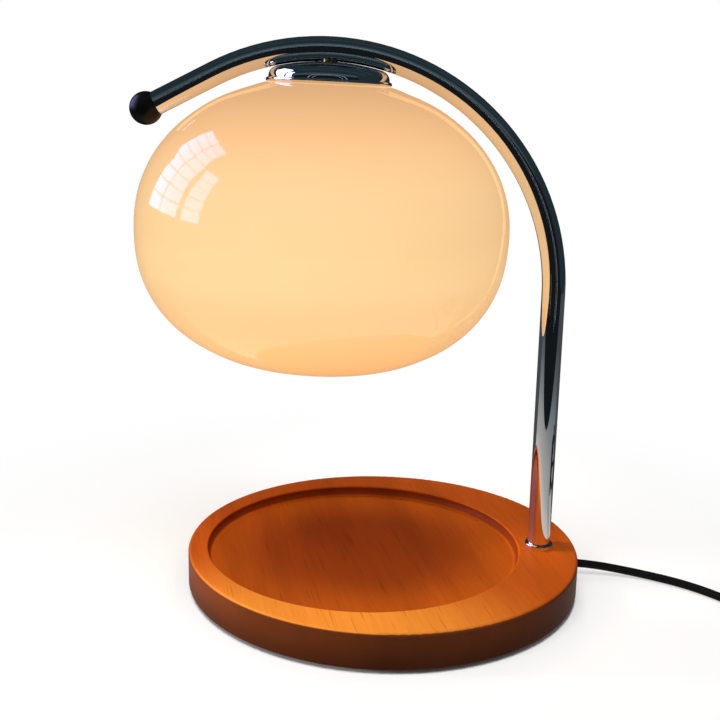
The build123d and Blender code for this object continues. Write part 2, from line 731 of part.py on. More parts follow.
# The cord's stretches: points by hand, from the cord's exit, with heights over the table.
exit_point = (exit_x, groove_offset)
dimmer_middle = (exit_x + DIMMER_PLACE[0], groove_offset + DIMMER_PLACE[1])
coil_middle = (exit_x + COIL_PLACE[0], groove_offset + COIL_PLACE[1])
plug_nose = (exit_x + PLUG_PLACE[0], groove_offset + PLUG_PLACE[1])
coil_floor = TIE_THICKNESS + SEAT_GAP + cord_radius
coil_roof = coil_floor + (COIL_LAYERS - 1) * COIL_PITCH
plug_level = PLUG_HEIGHT / 2


def from_exit(x, y, z=table_cord):
    return (exit_point[0] + x, exit_point[1] + y, z)


def plug_point(along, aside=0.0, level=plug_level):
    """Point on the plug's line, from the nose of its strain relief."""
    turn = math.radians(PLUG_HEADING)
    return (
        plug_nose[0] + along * math.cos(turn) - aside * math.sin(turn),
        plug_nose[1] + along * math.sin(turn) + aside * math.cos(turn),
        level,
    )


dimmer_near_end = dimmer_middle[1] - DIMMER_LENGTH / 2
dimmer_far_end = dimmer_middle[1] + DIMMER_LENGTH / 2
dimmer_lead = DIMMER_RELIEF_LENGTH + CORD_FREE
dimmer_straight = DIMMER_RELIEF_LENGTH + CORD_IN_DIMMER + 1
lamp_cord_points = [
    (relief_root, groove_offset, exit_height),
    from_exit(*LAMP_CORD_START, exit_height),
    *(from_exit(x, y) for x, y in LAMP_CORD_ROUTE),
    (dimmer_middle[0], dimmer_near_end - dimmer_lead, DIMMER_SPLIT),
    (dimmer_middle[0], dimmer_near_end + CORD_IN_DIMMER, DIMMER_SPLIT),
]


def coil_state(share):
    """Angle, radius and height on the clockwise coil, for a share of its length from 0 to 1."""
    sweep_angle = 360.0 * COIL_LAYERS * COIL_TURN_COUNT + COIL_PART_TURN
    layer_turns = sweep_angle / 360 / COIL_LAYERS
    turns = share * sweep_angle / 360
    layer = min(int(turns / layer_turns), COIL_LAYERS - 1)
    along = turns / layer_turns - layer
    inward = along if layer % 2 == 0 else 1 - along
    half_band = layer_turns * COIL_PITCH / 2
    radius = COIL_MIDDLE_RADIUS + half_band - inward * 2 * half_band
    height = coil_floor
    for climb in range(1, COIL_LAYERS):
        rise = (turns - climb * layer_turns) / 0.5 + 0.5
        rise = min(max(rise, 0.0), 1.0)
        height += COIL_PITCH * rise * rise * (3 - 2 * rise)
    return math.radians(COIL_START_ANGLE - share * sweep_angle), radius, height


def coil_point(share):
    angle, radius, height = coil_state(share)
    return Vector(
        coil_middle[0] + radius * math.cos(angle), coil_middle[1] + radius * math.sin(angle), height
    )


def coil_tangent(share):
    if share in (0, 1):
        angle = coil_state(share)[0]
        return Vector(math.sin(angle), -math.cos(angle), 0)
    step = 1e-5
    return (coil_point(share + step) - coil_point(share - step)).normalized()


coil_inlet = coil_point(0) - coil_tangent(0) * CORD_DIAMETER
coil_outlet = coil_point(1) + coil_tangent(1) * CORD_DIAMETER
plug_cord_points = [
    (dimmer_middle[0], dimmer_far_end - CORD_IN_DIMMER, DIMMER_SPLIT),
    (dimmer_middle[0], dimmer_far_end + PLUG_CORD_REACH, DIMMER_SPLIT),
    (coil_inlet.X, dimmer_far_end + PLUG_CORD_REACH, coil_floor),
    tuple(coil_inlet),
]
tail_points = [
    tuple(coil_outlet),
    tuple(coil_outlet + coil_tangent(1) * TAIL_RUN),
    plug_point(-CORD_FREE),
    plug_point(PLUG_RELIEF_LENGTH),
]


def cord_tube(name, points, straight_start, straight_end):
    """Tube of straight runs joined by the largest arcs that the runs and the straight ends allow."""
    corners = [Vector(*p) for p in points]
    radii = []
    for before, here, after in zip(corners, corners[1:], corners[2:]):
        turn = (here - before).get_angle(after - here)
        shorter = min((here - before).length, (after - here).length)
        room = 0.45 * shorter
        if before is corners[0]:
            room = min(room, (here - before).length - straight_start)
        if after is corners[-1]:
            room = min(room, (after - here).length - straight_end)
        radii.append(room / math.tan(math.radians(turn) / 2))
    path = FilletPolyline(*points, radius=radii)
    tube = round_sweep(path, CORD_DIAMETER)
    share = tube.volume / (math.pi * cord_radius**2 * path.length)
    print(name, "radii", [round(r) for r in radii], "length", round(path.length), "volume share", round(share, 4))
    return tube


def lamp_cord():
    return cord_tube("lamp_cord", lamp_cord_points, BASE_RELIEF_LENGTH + 1, dimmer_straight)


def plug_cord():
    return cord_tube("plug_cord", plug_cord_points, dimmer_straight, CORD_DIAMETER)


def plug_tail():
    return cord_tube("plug_tail", tail_points, CORD_DIAMETER, PLUG_RELIEF_LENGTH + 1)


def biarc(start, start_way, end, end_way):
    """Two arcs that meet smoothly between two points with given directions."""
    across = end - start
    ways = start_way + end_way
    spread = 2 * (1 - start_way.dot(end_way))
    reach = across.dot(ways)
    arm = (-reach + math.sqrt(reach**2 + spread * across.dot(across))) / spread
    meet = (start + end + (start_way - end_way) * arm) * 0.5
    first = TangentArc(start, meet, tangent=start_way)
    return [first, TangentArc(meet, end, tangent=first % 1)]


def cord_coil():
    turns = COIL_LAYERS * COIL_TURN_COUNT
    steps = turns * COIL_ARC_COUNT // 2
    edges = [Line(coil_inlet, coil_point(0))]
    for step in range(steps):
        here = step / steps
        there = (step + 1) / steps
        edges += biarc(coil_point(here), coil_tangent(here), coil_point(there), coil_tangent(there))
    edges.append(Line(coil_point(1), coil_outlet))
    path = Wire(edges)
    samples = 100 * turns
    points = [path @ (n / samples) for n in range(samples + 1)]
    spacing = path.length / samples
    skip = int(6 * CORD_DIAMETER / spacing)
    least = min(
        (points[i] - points[j]).length
        for i in range(len(points))
        for j in range(i + skip, len(points))
    )
    print("cord_coil length", round(path.length), "least gap to itself", round(least - CORD_DIAMETER, 2))
    return round_sweep(path, CORD_DIAMETER)


def coil_tie():
    half_band = COIL_MIDDLE_RADIUS - coil_state(1 / COIL_LAYERS)[1]
    room = cord_radius + SEAT_GAP
    outer = COIL_MIDDLE_RADIUS + half_band + room
    inner = math.sqrt((COIL_MIDDLE_RADIUS - half_band - room) ** 2 - (TIE_WIDTH / 2) ** 2)
    width = outer - inner
    height = coil_roof - coil_floor + 2 * room
    window = RectangleRounded(width, height, TIE_THICKNESS)
    band = RectangleRounded(width + 2 * TIE_THICKNESS, height + 2 * TIE_THICKNESS, 2 * TIE_THICKNESS)
    across = Plane(((outer + inner) / 2, 0, TIE_THICKNESS + height / 2), x_dir=(1, 0, 0), z_dir=(0, 1, 0))
    tie = extrude(across * (band - window), amount=TIE_WIDTH / 2, both=True)
    return Pos(coil_middle[0], coil_middle[1], 0) * Rot(0, 0, TIE_ANGLE) * tie


# The dimmer is drawn along X with its underside at Z 0, then laid along Y.
dimmer_place = Pos(dimmer_middle[0], dimmer_middle[1], 0) * Rot(0, 0, 90)
dimmer_axle_height = DIMMER_HEIGHT + WHEEL_PROUD - WHEEL_DIAMETER / 2
boss_places = [
    (side * (DIMMER_LENGTH / 2 - DIMMER_BOSS_INSET), -side * DIMMER_BOSS_ASIDE) for side in (-1, 1)
]
post_inner = WHEEL_THICKNESS / 2 + WHEEL_ROOM
post_outer = post_inner + SHAFT_POST
board_bottom_level = DIMMER_WALL + BOARD_PEG_HEIGHT
board_right = WHEEL_OFFSET - WHEEL_DIAMETER / 2 - WHEEL_ROOM
board_left = boss_places[0][0] + DIMMER_BOSS_RADIUS + WHEEL_ROOM
board_middle = (board_left + board_right) / 2
board_length = board_right - board_left


def dimmer_plan(shrink):
    return RectangleRounded(
        DIMMER_LENGTH - 2 * shrink, DIMMER_WIDTH - 2 * shrink, DIMMER_CORNER - shrink
    )


def dimmer_ends():
    """Round way through both end walls for the strain reliefs' necks."""
    way = Rot(0, 90, 0) * rod(relief_neck + ASSEMBLY_GAP, -DIMMER_LENGTH, DIMMER_LENGTH)
    return Pos(0, 0, DIMMER_SPLIT) * way


def wheel_room():
    radius = WHEEL_DIAMETER / 2 + WHEEL_ROOM
    room = rod(radius, -post_inner, post_inner)
    return Pos(WHEEL_OFFSET, 0, dimmer_axle_height) * Rot(90, 0, 0) * room


def dimmer_lower():
    shell = extrude(dimmer_plan(0), amount=DIMMER_SPLIT)
    shell = fillet(shell.edges().group_by(Axis.Z)[0], DIMMER_WALL / 2)
    shell -= Pos(0, 0, DIMMER_WALL) * extrude(dimmer_plan(DIMMER_WALL), amount=DIMMER_SPLIT)
    shell -= dimmer_ends()
    for side in (-1, 1):
        post = Pos(WHEEL_OFFSET, side * (post_inner + post_outer) / 2, DIMMER_WALL) * extrude(
            Rectangle(2 * SHAFT_DIAMETER, SHAFT_POST), amount=dimmer_axle_height + SHAFT_DIAMETER - DIMMER_WALL
        )
        shell += post
    shaft_hole = rod(SHAFT_DIAMETER / 2 + ASSEMBLY_GAP, -post_outer, post_outer)
    shell -= Pos(WHEEL_OFFSET, 0, dimmer_axle_height) * Rot(90, 0, 0) * shaft_hole
    for x in (-1, 1):
        for y in (-1, 1):
            peg_x = board_middle + x * (board_length / 2 - BOARD_PEG_RADIUS)
            peg_y = y * (BOARD_WIDTH / 2 - BOARD_PEG_RADIUS)
            shell += Pos(peg_x, peg_y, 0) * rod(BOARD_PEG_RADIUS, DIMMER_WALL, board_bottom_level)
    for x, y in boss_places:
        shell += Pos(x, y, 0) * rod(DIMMER_BOSS_RADIUS, DIMMER_WALL, DIMMER_SPLIT)
        shell -= Pos(x, y, 0) * countersunk_screw(
            DIMMER_SCREW_HEAD + ASSEMBLY_GAP, DIMMER_SCREW_RADIUS + ASSEMBLY_GAP, DIMMER_HEIGHT
        )
    return dimmer_place * (shell - wheel_room())


def dimmer_upper():
    shell = Pos(0, 0, DIMMER_SPLIT) * extrude(dimmer_plan(0), amount=DIMMER_HEIGHT - DIMMER_SPLIT)
    shell = fillet(shell.edges().group_by(Axis.Z)[-1], DIMMER_EDGE_ROUND)
    roof = DIMMER_HEIGHT - DIMMER_WALL
    shell -= Pos(0, 0, DIMMER_SPLIT) * extrude(dimmer_plan(DIMMER_WALL), amount=roof - DIMMER_SPLIT)
    shell -= dimmer_ends()
    for x, y in boss_places:
        shell += Pos(x, y, 0) * rod(DIMMER_BOSS_RADIUS, DIMMER_SPLIT, roof)
        shell -= Pos(x, y, 0) * rod(
            DIMMER_SCREW_RADIUS + ASSEMBLY_GAP, 0, DIMMER_SCREW_LENGTH + ASSEMBLY_GAP
        )
    return dimmer_place * (shell - wheel_room())


def dimmer_screws():
    screw = countersunk_screw(DIMMER_SCREW_HEAD, DIMMER_SCREW_RADIUS, DIMMER_SCREW_LENGTH)
    return Compound([dimmer_place * Pos(x, y, 0) * screw for x, y in boss_places])


def dimmer_shaft():
    shaft = rod(SHAFT_DIAMETER / 2, -post_outer, post_outer)
    return dimmer_place * Pos(WHEEL_OFFSET, 0, dimmer_axle_height) * Rot(90, 0, 0) * shaft


def dimmer_wheel():
    radius = WHEEL_DIAMETER / 2
    face = Circle(radius) - Circle(SHAFT_DIAMETER / 2 + RUNNING_GAP)
    face -= PolarLocations(radius, WHEEL_NOTCHES) * Circle(WHEEL_NOTCH_RADIUS)
    wheel = extrude(face, amount=WHEEL_THICKNESS / 2, both=True)
    return dimmer_place * Pos(WHEEL_OFFSET, 0, dimmer_axle_height) * Rot(90, 0, 0) * wheel


def dimmer_board():
    sheet = extrude(Rectangle(board_length, BOARD_WIDTH), amount=BOARD_SHEET)
    return dimmer_place * Pos(board_middle, 0, board_bottom_level) * sheet


def dimmer_reliefs():
    wall_end = DIMMER_WALL + 2 * ASSEMBLY_GAP
    flange_end = wall_end + DIMMER_RELIEF_FLANGE
    flange = relief_bore + DIMMER_RELIEF_FLANGE_WALL
    profile = outline(
        (relief_bore, -flange_end),
        (flange, -flange_end),
        (flange, -wall_end),
        (relief_neck, -wall_end),
        (relief_neck, 0),
        (relief_nose, DIMMER_RELIEF_LENGTH),
        (relief_bore, DIMMER_RELIEF_LENGTH),
    )
    sleeve = Pos(DIMMER_LENGTH / 2, 0, DIMMER_SPLIT) * Rot(0, 90, 0) * turned(profile)
    return Compound([dimmer_place * Rot(0, 0, side) * sleeve for side in (0, 180)])


plug_place = Pos(*plug_point(PLUG_RELIEF_LENGTH, level=0)) * Rot(0, 0, PLUG_HEADING)


def plug_body():
    tail = PLUG_TAIL_WIDTH / 2
    half = PLUG_WIDTH / 2
    plan = make_face(
        Polyline(
            (0, -tail),
            (PLUG_TAPER, -half),
            (PLUG_LENGTH, -half),
            (PLUG_LENGTH, half),
            (PLUG_TAPER, half),
            (0, tail),
            close=True,
        )
    )
    body = fillet(extrude(plan, amount=PLUG_HEIGHT).edges(), PLUG_ROUND)
    return plug_place * body


def plug_pins():
    pin = rod(PLUG_PIN_DIAMETER / 2, 0, PLUG_PIN_LENGTH)
    pin = chamfer(pin.edges().sort_by(Axis.Z)[-1], PLUG_PIN_TIP)
    return Compound(
        [
            plug_place * Pos(PLUG_LENGTH, side * PLUG_PIN_SPACING / 2, plug_level) * Rot(0, 90, 0) * pin
            for side in (-1, 1)
        ]
    )


def plug_relief():
    sleeve = Rot(0, 0, 180) * relief_sleeve(PLUG_RELIEF_LENGTH)
    return plug_place * Pos(0, 0, plug_level) * sleeve


PIECES = [
    wood_base,
    felt_pad,
    bottom_cover,
    bottom_cover_screws,
    pole_nipple,
    pole_washer,
    pole_nut,
    foot_collar,
    arm_tube,
    end_ball,
    cord_relief,
    riser_lead,
    shade_stud,
    shade_cap,
    upper_gasket,
    glass_shade,
    lower_gasket,
    clamp_plate,
    clamp_nut,
    holder_bridge,
    bridge_nut,
    lamp_holder,
    holder_screws,
    holder_leads,
    bulb_base,
    bulb_pins,
    bulb_reflector,
    bulb_lens,
    lamp_cord,
    dimmer_lower,
    dimmer_upper,
    dimmer_screws,
    dimmer_shaft,
    dimmer_wheel,
    dimmer_board,
    dimmer_reliefs,
    plug_cord,
    cord_coil,
    coil_tie,
    plug_tail,
    plug_relief,
    plug_body,
    plug_pins,
]

os.makedirs("parts", exist_ok=True)
for piece in PIECES:
    export_step(piece(), f"parts/{piece.__name__}.step")
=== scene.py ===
import bpy
import math
from mathutils import Matrix, Vector


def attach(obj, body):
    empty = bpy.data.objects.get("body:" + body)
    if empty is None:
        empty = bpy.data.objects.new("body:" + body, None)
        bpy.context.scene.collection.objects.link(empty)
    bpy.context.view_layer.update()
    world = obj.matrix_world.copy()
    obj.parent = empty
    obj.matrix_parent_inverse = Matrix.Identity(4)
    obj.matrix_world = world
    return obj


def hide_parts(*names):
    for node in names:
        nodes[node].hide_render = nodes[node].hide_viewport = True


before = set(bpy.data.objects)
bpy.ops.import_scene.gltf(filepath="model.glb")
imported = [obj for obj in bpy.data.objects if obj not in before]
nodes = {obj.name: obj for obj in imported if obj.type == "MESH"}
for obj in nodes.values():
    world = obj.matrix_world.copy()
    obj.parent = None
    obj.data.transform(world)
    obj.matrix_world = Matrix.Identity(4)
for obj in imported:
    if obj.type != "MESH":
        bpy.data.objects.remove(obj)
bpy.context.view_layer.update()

MM = 0.001

# Camera, from the outlines of the base, the arm and the shade; lens and sensor in millimetres
CAMERA_PLACE = (0.0, -0.521081, 0.242309)
CAMERA_RIGHT = (0.99872, 0.04843, 0.01442)
CAMERA_UP = (-0.02484, 0.22190, 0.97475)
CAMERA_LENS = 53.41
CAMERA_SENSOR = 36.0
CAMERA_SHIFT = (0.0282, -0.0200)
CAMERA_NEAR = 0.01

# Cord and what lies on the table, in millimetres and degrees
CORD_DIAMETER = 4.2
CORD_BEVEL_STEPS = 4
CORD_CURVE_STEPS = 6
CORD_CURVE_ORDER = 3
CORD_EXIT = (99.404, 10.9, 6.1)
CORD_START_X = 88.0
CORD_STRAIGHT_X = 106.4
TABLE_CORD = 2.15
LAMP_CORD_BENDS = (
    (134.4, 9.3),
    (159.4, -4.6),
    (179.4, -26.6),
    (195.4, -54.1),
    (219.4, -79.1),
    (257.4, -90.6),
    (294.4, -83.1),
)
DIMMER_MIDDLE = (312.004, 0.0)
DIMMER_NOSE = 48.0
DIMMER_LEAD = 8.0
DIMMER_INSIDE = 14.0
DIMMER_CORD_HEIGHT = 6.5
PLUG_CORD_TURN_Y = 76.0
COIL_MIDDLE = (238.004, -20.0)
COIL_MIDDLE_RADIUS = 24.0
COIL_PITCH = 4.8
COIL_LAYERS = 4
COIL_TURN_COUNT = 2
COIL_PART_TURN = 180.0
COIL_FLOOR = 3.2
COIL_CLIMB_TURNS = 0.5
COIL_POINTS_A_TURN = 16
COIL_LEAD_IN = 40.0
COIL_LEAD_OUT = 18.2
PLUG_NOSE = (209.804, 23.4)
PLUG_HEADING = 80.0
PLUG_LEVEL = 6.85
PLUG_LEAD = 8.0
PLUG_INSIDE = 12.0

# Wood: grain turned in degrees and stretched, places and zones in metres, tones with their spread; the
# paler front rim is a painted highlight, the tray's darker middle and its wall are painted shade, and the
# side's tone is partly painted shade, darker towards its foot by painted shade
GRAIN_TURN = -13.6
FIGURE_STRETCH = (60, 6, 60)
FIBRE_STRETCH = (650, 26, 650)
LINE_STRETCH = (900, 34, 900)
# Middle and zone of the painted highlight on the front rim
LIT_FRONT_RIM_PLACE = (-0.03, -0.13)
LIT_FRONT_RIM_ZONE = (0.13, 0.05)
TRAY_MIDDLE = (-0.01, 0.0)
# Zone where the painted shade in the tray's middle gives way to its paler ring
TRAY_SHADE_ZONE = (0.034, 0.078)
# Zone of the painted shade on the tray's wall
TRAY_WALL_SHADE_ZONE = (0.0782, 0.0794)
TRAY_HEIGHT_ZONE = (0.0188, 0.0180)
SIDE_RADIUS_ZONE = (0.0960, 0.0975)
SIDE_HEIGHT_ZONE = (0.0188, 0.0182)
# Heights over which the painted shade at the foot of the side fades
SIDE_FOOT_SHADE_ZONE = (0.001, 0.017)
WOOD_TONES = {
    "rim": ((0.47, 0.087, 0.006), 0.14),
    # painted highlight: paler front rim, where light falls
    "painted_highlight_rim": ((0.76, 0.262, 0.031), 0.06),
    # painted shade: darker middle of the tray
    "tray_middle": ((0.26, 0.044, 0.003), 0.14),
    "tray_ring": ((0.45, 0.090, 0.005), 0.14),
    # painted shade: dark wall of the tray
    "tray_wall_shade": ((0.20, 0.031, 0.003), 0.14),
    # side: darker end-grain tone, partly painted shade of the side
    "side": ((0.135, 0.031, 0.0075), 0.12),
}

# Opal glass: heights in metres, its colours from foot to crown with painted light and shade in them (a
# paler lower half, painted shade at the crown and at the mouth), and its glow
GLASS_FOOT = 0.116
GLASS_CROWN = 0.254
# Painted light and shade by height: paler lower half, darker crown and mouth
GLASS_COLOURS_AND_PAINTED_LIGHT = (
    (0.0, (0.72, 0.33, 0.03)),
    (0.07, (0.92, 0.62, 0.18)),
    (0.35, (0.92, 0.80, 0.43)),
    (0.60, (0.50, 0.44, 0.25)),
    (0.82, (0.28, 0.18, 0.10)),
    (1.0, (0.02, 0.02, 0.025)),
)
GLASS_GLOW = (1.0, 0.555, 0.246, 1)
GLASS_GLOW_STRENGTH = 0.67
BULB_GLOW = (1.0, 0.68, 0.32, 1)
BULB_GLOW_STRENGTH = 3.0

# Floor and background, in metres
FLOOR_SIDE = 8
FLOOR_LEVEL = -0.0003
FLOOR_BASE_EDGE = (0.0995, 0.1005)
FLOOR_SHADOW_ZONE = (0.12, 0.34)
FLOOR_SHADOW_WHITE = 0.5
FLOOR_COLOUR = (0.98, 0.98, 0.98, 1)
FLOOR_DIM_COLOUR = (0.4, 0.4, 0.4, 1)
SKY_COLOUR = (0.92, 0.95, 1.0, 1)
SKY_STRENGTH = 0.3
BLACK = (0, 0, 0, 1)
WHITE = (1, 1, 1, 1)

# Room that mirrors show, in metres; panels and bays by Y and width, bays with their rows of panes
UP = (0, 0, 1)
DOWN = (0, 0, -1)
TO_BACK = (0, 1, 0)
TO_FRONT = (0, -1, 0)
TO_LEFT = (-1, 0, 0)
TO_RIGHT = (1, 0, 0)
TABLE_GLOW = (
    (0.11, (0.74, 0.69, 0.63)),
    (0.19, (0.40, 0.385, 0.37)),
    (0.32, (0.22, 0.23, 0.24)),
    (0.46, (0.10, 0.12, 0.135)),
    (0.64, (0.06, 0.065, 0.07)),
)
ROOM_X = -0.2
ROOM_WIDTH = 2.7
ROOM_FRONT = -0.66
FLOOR_CARD_LEVEL = 0.0002
TABLE_CARD_LEVEL = 0.0004
CEILING_X = 0.35
CEILING_LENGTH = 1.9
PANEL_HEIGHT = 0.99
CEILING_PANELS = ((-0.08, 0.05), (0.28, 0.04))
RING_MIDDLE = (-0.03, -0.645, 0.2)
RINGS = ((0.34, 0.004), (0.47, 0.007))
RING_STEPS = 96
RING_SECTION_STEPS = 8
WINDOW_X = -1.5
WINDOW_BAYS = ((-0.31, 0.38, 5), (0.22, 0.44, 8), (0.80, 0.66, 8))
PANE_HEIGHT = 0.185
PANE_STEP = 0.2
LOWEST_PANE = 0.40


def set_inputs(node, values):
    """Gives a node's sockets their constant values."""
    for socket, value in values.items():
        node.inputs[socket].default_value = value


def shader(name):
    """New material with its Principled shader, and functions that add a node and a link to it."""
    material = bpy.data.materials.new(name)
    material.use_nodes = True
    tree = material.node_tree

    def add(kind, **values):
        node = tree.nodes.new(kind)
        for key, value in values.items():
            setattr(node, key, value)
        return node

    return material, tree.nodes["Principled BSDF"], add, tree.links.new


def object_place(add):
    """Place on the object, as a vector."""
    return add("ShaderNodeTexCoord").outputs["Object"]


def object_axes(add, link):
    """Place on the object, as its X, Y and Z."""
    axes = add("ShaderNodeSeparateXYZ")
    link(object_place(add), axes.inputs["Vector"])
    return axes.outputs


def distance_from_axis(add, link, x, y):
    """Distance from an upright line."""
    axes = object_axes(add, link)
    flat = add("ShaderNodeCombineXYZ")
    link(axes["X"], flat.inputs["X"])
    link(axes["Y"], flat.inputs["Y"])
    distance = add("ShaderNodeVectorMath", operation="DISTANCE")
    distance.inputs[1].default_value = (x, y, 0)
    link(flat.outputs["Vector"], distance.inputs[0])
    return distance.outputs["Value"]


def mapped(add, link, vector, **settings):
    """Vector that is turned by Rotation or stretched by Scale."""
    mapping = add("ShaderNodeMapping")
    set_inputs(mapping, settings)
    link(vector, mapping.inputs["Vector"])
    return mapping.outputs["Vector"]


def grain_place(add, link, stretch):
    """Place on the object, turned so that Y lies along the grain, then stretched."""
    turned = mapped(add, link, object_place(add), Rotation=(0, 0, math.radians(GRAIN_TURN)))
    return mapped(add, link, turned, Scale=stretch)


def noise(add, link, vector, scale=1.0, detail=4.0, roughness=0.5):
    """Cloudy pattern."""
    node = add("ShaderNodeTexNoise")
    set_inputs(node, {"Scale": scale, "Detail": detail, "Roughness": roughness})
    link(vector, node.inputs["Vector"])
    return node.outputs["Fac"]


def cells(add, link, scale):
    """Pattern of small cells, by the distance from their middles."""
    node = add("ShaderNodeTexVoronoi")
    set_inputs(node, {"Scale": scale})
    link(object_place(add), node.inputs["Vector"])
    return node.outputs["Distance"]


def ramp(add, link, value, *stops):
    """Colour ramp through (position, colour) stops."""
    node = add("ShaderNodeValToRGB")
    elements = node.color_ramp.elements
    while len(elements) < len(stops):
        elements.new(0.5)
    for element, (position, colour) in zip(elements, stops):
        element.position = position
        element.color = (*colour, 1)
    link(value, node.inputs["Fac"])
    return node.outputs["Color"]


def ranged(add, link, value, start, end, low=0.0, high=1.0, kind="LINEAR"):
    """Value that goes from low to high while another goes from start to end."""
    node = add("ShaderNodeMapRange", interpolation_type=kind)
    set_inputs(node, {"From Min": start, "From Max": end, "To Min": low, "To Max": high})
    link(value, node.inputs["Value"])
    return node.outputs["Result"]


def zone(add, link, value, start, end, low=0.0):
    """Smooth mask that is low up to a start value and one from an end value on."""
    return ranged(add, link, value, start, end, low, kind="SMOOTHSTEP")


def product(add, link, first, second):
    """Two values multiplied."""
    node = add("ShaderNodeMath", operation="MULTIPLY")
    link(first, node.inputs[0])
    link(second, node.inputs[1])
    return node.outputs["Value"]


def blend_colours(add, link, mode, factor, first, second):
    """Two colours blended by a factor that is a mask or a number."""
    node = add("ShaderNodeMix", data_type="RGBA", blend_type=mode)
    for socket, value in ((node.inputs[0], factor), (node.inputs[6], first), (node.inputs[7], second)):
        if isinstance(value, bpy.types.NodeSocket):
            link(value, socket)
        else:
            socket.default_value = value
    return node.outputs[2]


def bump(add, link, principled, height, strength, distance):
    """Fine relief of a surface."""
    node = add("ShaderNodeBump")
    set_inputs(node, {"Strength": strength, "Distance": distance})
    link(height, node.inputs["Height"])
    link(node.outputs["Normal"], principled.inputs["Normal"])


def roughness_range(add, link, principled, value, low, high):
    """Gloss that varies with a pattern."""
    link(ranged(add, link, value, 0.0, 1.0, low, high), principled.inputs["Roughness"])


def darker_and_lighter(colour, spread):
    """Tone below and tone above a colour."""
    return tuple(c * (1 - spread) for c in colour), tuple(c * (1 + spread) for c in colour)


def wood_tones(add, link, figure, middle, spread):
    """Darker, middle and lighter tone of the wood by its figure."""
    dark, light = darker_and_lighter(middle, spread)
    return ramp(add, link, figure, (0.3, dark), (0.5, middle), (0.7, light))


def wood_colour(add, link, figure, fibres):
    """Colour of the base by place: rim, tray and side, with fibres and fine dark lines on rim and tray, a
    painted highlight on the front rim, painted shade in the tray's middle and on its wall, and painted
    shade towards the foot of the side.
    """
    tones = {part: wood_tones(add, link, figure, *tone) for part, tone in WOOD_TONES.items()}
    height = object_axes(add, link)["Z"]
    from_painted_highlight = distance_from_axis(add, link, *LIT_FRONT_RIM_PLACE)
    from_tray = distance_from_axis(add, link, *TRAY_MIDDLE)
    radius = distance_from_axis(add, link, 0, 0)

    def mix(mask, first, second):
        return blend_colours(add, link, "MIX", mask, first, second)

    # The front of the rim is paler by a painted highlight
    top = mix(zone(add, link, from_painted_highlight, *LIT_FRONT_RIM_ZONE), tones["rim"], tones["painted_highlight_rim"])
    # The tray's middle is darker by painted shade
    tray = mix(zone(add, link, from_tray, *TRAY_SHADE_ZONE), tones["tray_middle"], tones["tray_ring"])
    # The tray's wall is darker by painted shade
    tray = mix(zone(add, link, from_tray, *TRAY_WALL_SHADE_ZONE), tray, tones["tray_wall_shade"])
    colour = mix(zone(add, link, height, *TRAY_HEIGHT_ZONE), top, tray)
    fibre_mask = ramp(add, link, fibres, (0.35, (1, 1, 1)), (0.7, (0.86, 0.80, 0.76)))
    colour = blend_colours(add, link, "MULTIPLY", 0.5, colour, fibre_mask)
    lines = noise(add, link, grain_place(add, link, LINE_STRETCH), detail=1.0, roughness=0.3)
    line_mask = ramp(add, link, lines, (0.66, (1, 1, 1)), (0.74, (0.62, 0.50, 0.44)))
    colour = blend_colours(add, link, "MULTIPLY", 0.5, colour, line_mask)
    # Painted shade: the side is darker towards its foot
    foot_shade_zone = zone(add, link, height, *SIDE_FOOT_SHADE_ZONE)
    painted_foot_shade = ramp(add, link, foot_shade_zone, (0.0, (0.5, 0.5, 0.5)), (1.0, (1, 1, 1)))
    # The side's dark tone is partly end grain and partly painted shade
    side = blend_colours(add, link, "MULTIPLY", 1.0, tones["side"], painted_foot_shade)
    at_edge = zone(add, link, radius, *SIDE_RADIUS_ZONE)
    below_rim = zone(add, link, height, *SIDE_HEIGHT_ZONE)
    return mix(product(add, link, at_edge, below_rim), colour, side)


def lacquered_wood():
    """Reddish lacquered wood with fine grain: a painted highlight on the front rim, painted shade in the
    middle of the tray and on its wall, and a dark side whose tone is partly end grain and partly painted
    shade, darker towards the foot by painted shade.
    """
    material, principled, add, link = shader("lacquered_wood")
    figure = noise(add, link, grain_place(add, link, FIGURE_STRETCH), detail=5.0)
    fibres = noise(add, link, grain_place(add, link, FIBRE_STRETCH), detail=3.0)
    link(wood_colour(add, link, figure, fibres), principled.inputs["Base Color"])
    roughness_range(add, link, principled, figure, low=0.44, high=0.54)
    bump(add, link, principled, fibres, strength=0.05, distance=0.0003)
    set_inputs(principled, {"Specular IOR Level": 0.05})
    return material


def polished_chrome():
    """Bright chrome with hardly visible clouds."""
    material, principled, add, link = shader("polished_chrome")
    cloud = noise(add, link, object_place(add), scale=60.0, detail=3.0)
    colour = ramp(add, link, cloud, (0.3, (0.86, 0.87, 0.88)), (0.7, (0.91, 0.92, 0.93)))
    link(colour, principled.inputs["Base Color"])
    roughness_range(add, link, principled, cloud, low=0.02, high=0.045)
    set_inputs(principled, {"Metallic": 1.0})
    return material


def opal_glass():
    """Opal glass lit from inside, with painted light and shade in its colour: paler in its lower half,
    painted shade at the crown and at the mouth.
    """
    material, principled, add, link = shader("opal_glass")
    level = ranged(add, link, object_axes(add, link)["Z"], GLASS_FOOT, GLASS_CROWN)
    # Colour by height carries painted light and shade
    link(ramp(add, link, level, *GLASS_COLOURS_AND_PAINTED_LIGHT), principled.inputs["Base Color"])
    set_inputs(principled, {"Roughness": 0.07, "Specular IOR Level": 0.6})
    set_inputs(principled, {"Emission Color": GLASS_GLOW, "Emission Strength": GLASS_GLOW_STRENGTH})
    return material


